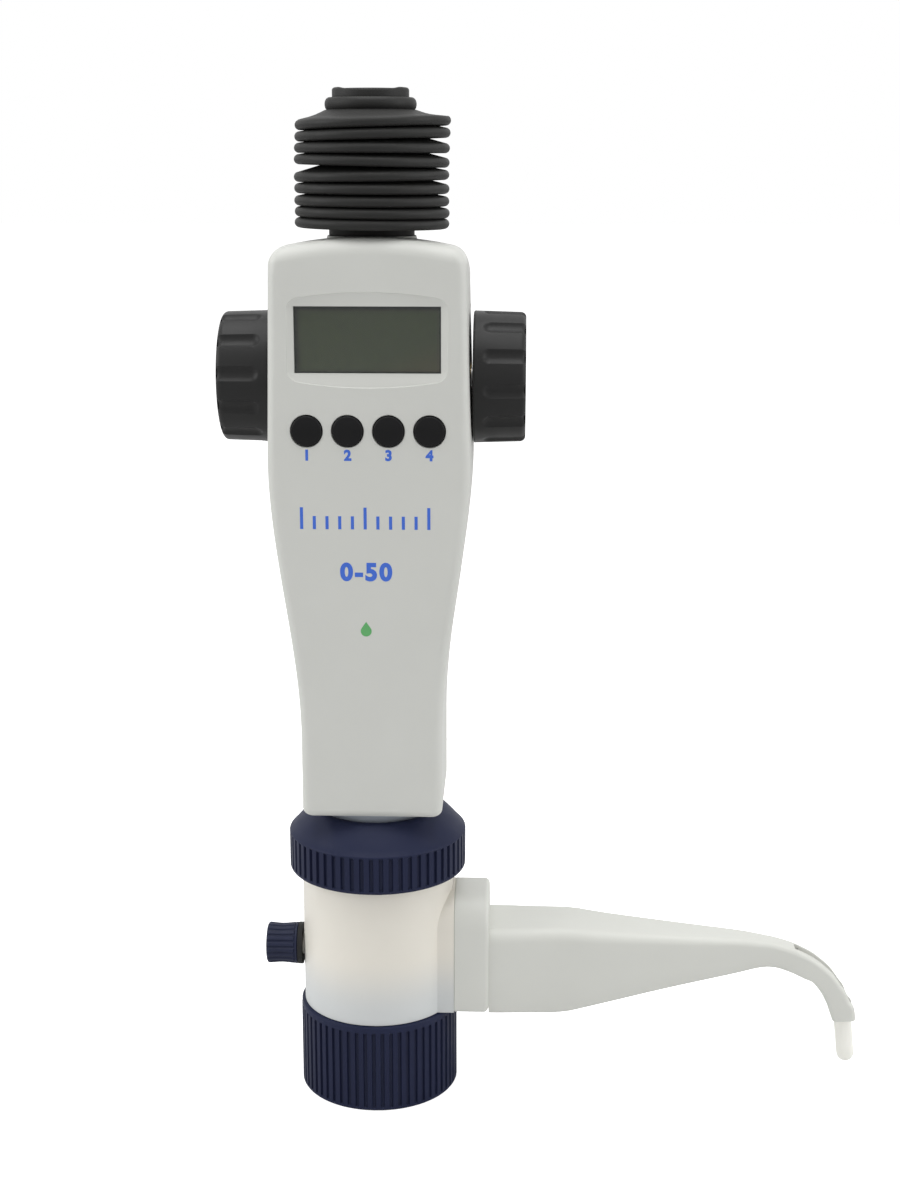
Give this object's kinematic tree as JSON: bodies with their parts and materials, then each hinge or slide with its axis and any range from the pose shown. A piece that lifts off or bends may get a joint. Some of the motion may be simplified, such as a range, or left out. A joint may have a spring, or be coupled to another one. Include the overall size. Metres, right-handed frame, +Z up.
{
  "type": "digital burette",
  "caption": "Bottle-top digital burette with a rack-driven piston, hand wheels, display, keys, bellows, threaded bottle collar and a long discharge spout.",
  "frame": {"origin": "centre of the bottle collar's bottom face, on the piston's axis", "axes": "+Z up the piston, +X towards the discharge spout, -Y towards the display and keys"},
  "size_m": [0.2146, 0.0598, 0.3355],
  "materials": {
    "housing_white": "fine moulded grain, satin",
    "window_clear": "clear acrylic",
    "lcd_green": "dark reflective liquid crystal",
    "board_green": "solder mask",
    "steel": "turned stainless steel",
    "switch_black": "plain",
    "frame_alloy": "milled",
    "brass": "turned brass",
    "ptfe_white": "waxy white",
    "rubber_black": "soft black rubber with a slight sheen",
    "cylinder_glass": "clear borosilicate",
    "foot_grey": "blue-grey, satin",
    "block_milky": "milky, slightly translucent",
    "spout_grey": "light grey, satin",
    "tube_milky": "milky fluoropolymer",
    "tray_black": "plain",
    "cell_wrap": "plain coloured sleeve",
    "contact_nickel": "nickel plated",
    "knob_black": "fine grain",
    "gear_nylon": "natural nylon",
    "key_black": "satin",
    "ball_ceramic": "polished ceramic",
    "navy": "satin",
    "cap_clear": "translucent milky"
  },
  "bodies": {
    "housing": {"front_shell": "housing_white", "rear_shell": "housing_white", "display_window": "window_clear", "lcd_panel": "lcd_green", "circuit_board": "board_green", "board_screws": "steel", "key_switches": "switch_black", "housing_screws": "steel", "gear_frame": "frame_alloy", "shaft_bushes": "brass", "rod_guide": "ptfe_white", "bellows": "rubber_black", "glass_cylinder": "cylinder_glass", "cylinder_foot": "foot_grey", "cylinder_seal": "ptfe_white", "valve_block": "block_milky", "retainer_ring": "ptfe_white", "inlet_valve_seat": "ptfe_white", "outlet_valve_body": "ptfe_white", "outlet_spring": "steel", "outlet_base": "spout_grey", "base_screws": "steel", "spout_cover": "spout_grey", "discharge_tube": "tube_milky", "vent_port": "block_milky", "battery_tray": "tray_black", "battery_cells": "cell_wrap", "battery_contacts": "contact_nickel", "encoder_sensor": "switch_black"},
    "hand_wheels": {"left_wheel": "knob_black", "right_wheel": "knob_black", "wheel_shaft": "steel", "drive_pinion": "brass", "encoder_disc": "tray_black"},
    "reduction": {"layshaft": "steel", "reduction_gear": "gear_nylon", "rack_pinion": "brass"},
    "plunger": {"piston_rod": "steel", "piston": "ptfe_white", "piston_seal": "ptfe_white", "bellows_cap": "rubber_black"},
    "key_1_body": {"key_1": "key_black"},
    "key_2_body": {"key_2": "key_black"},
    "key_3_body": {"key_3": "key_black"},
    "key_4_body": {"key_4": "key_black"},
    "collar": {"bottle_collar": "navy"},
    "nut": {"union_nut": "navy"},
    "vent_seal": {"vent_washer": "rubber_black"},
    "vent_knob": {"vent_cap": "navy"},
    "nozzle_cover": {"nozzle_cap": "cap_clear"},
    "door": {"battery_door": "housing_white"},
    "inlet_valve": {"inlet_ball": "ball_ceramic"},
    "outlet_valve": {"outlet_ball": "ball_ceramic"}
  },
  "joints": [
    {"name": "wheel_turn", "type": "hinge", "parent": "housing", "child": "hand_wheels", "pos_m": [0, 0.007, 0.2452], "axis": [1, 0, 0], "range_deg": [0, 2398]},
    {"name": "layshaft_turn", "type": "hinge", "parent": "housing", "child": "reduction", "pos_m": [0, 0.007, 0.2232], "axis": [1, 0, 0], "range_deg": [-900, 0]},
    {"name": "plunger_lift", "type": "slide", "parent": "housing", "child": "plunger", "axis": [0, 0, 1], "range_m": [0, 0.0942], "deforming": ["bellows"]},
    {"name": "key_1_press", "type": "slide", "parent": "housing", "child": "key_1_body", "axis": [0, 1, 0], "range_m": [0, 0.001], "stiffness_N_per_m": 300},
    {"name": "key_2_press", "type": "slide", "parent": "housing", "child": "key_2_body", "axis": [0, 1, 0], "range_m": [0, 0.001], "stiffness_N_per_m": 300},
    {"name": "key_3_press", "type": "slide", "parent": "housing", "child": "key_3_body", "axis": [0, 1, 0], "range_m": [0, 0.001], "stiffness_N_per_m": 300},
    {"name": "key_4_press", "type": "slide", "parent": "housing", "child": "key_4_body", "axis": [0, 1, 0], "range_m": [0, 0.001], "stiffness_N_per_m": 300},
    {"name": "nut_turn", "type": "hinge", "parent": "housing", "child": "nut", "pos_m": [0, 0, 0.086], "axis": [0, 0, 1], "range_deg": [0, 540]},
    {"name": "collar_swivel", "type": "hinge", "parent": "housing", "child": "collar", "pos_m": [0, 0, 0.02], "axis": [0, 0, 1], "continuous": true},
    {"name": "vent_draw", "type": "slide", "parent": "housing", "child": "vent_seal", "axis": [-1, 0, 0], "range_m": [0, 0.005]},
    {"name": "vent_turn", "type": "hinge", "parent": "vent_seal", "child": "vent_knob", "pos_m": [-0.033, 0, 0.0491], "axis": [-1, 0, 0], "range_deg": [0, 720]},
    {"name": "nozzle_cap_pull", "type": "slide", "parent": "housing", "child": "nozzle_cover", "axis": [0.1146, 0, -0.9934], "range_m": [0, 0.015]},
    {"name": "door_swing", "type": "hinge", "parent": "housing", "child": "door", "pos_m": [0, 0.0265, 0.25435], "axis": [-1, 0, 0], "range_deg": [0, 100]},
    {"name": "inlet_ball_lift", "type": "slide", "parent": "housing", "child": "inlet_valve", "axis": [0, 0, 1], "range_m": [0, 0.002]},
    {"name": "outlet_ball_open", "type": "slide", "parent": "housing", "child": "outlet_valve", "axis": [1, 0, 0], "range_m": [0, 0.001], "stiffness_N_per_m": 50}
  ],
  "couplings": [
    {"joint": "layshaft_turn", "follows": "wheel_turn", "ratio": -0.375},
    {"joint": "plunger_lift", "follows": "wheel_turn", "m_per_rad": 0.00225},
    {"joint": "vent_turn", "follows": "vent_draw", "rad_per_m": 2513.3}
  ]
}
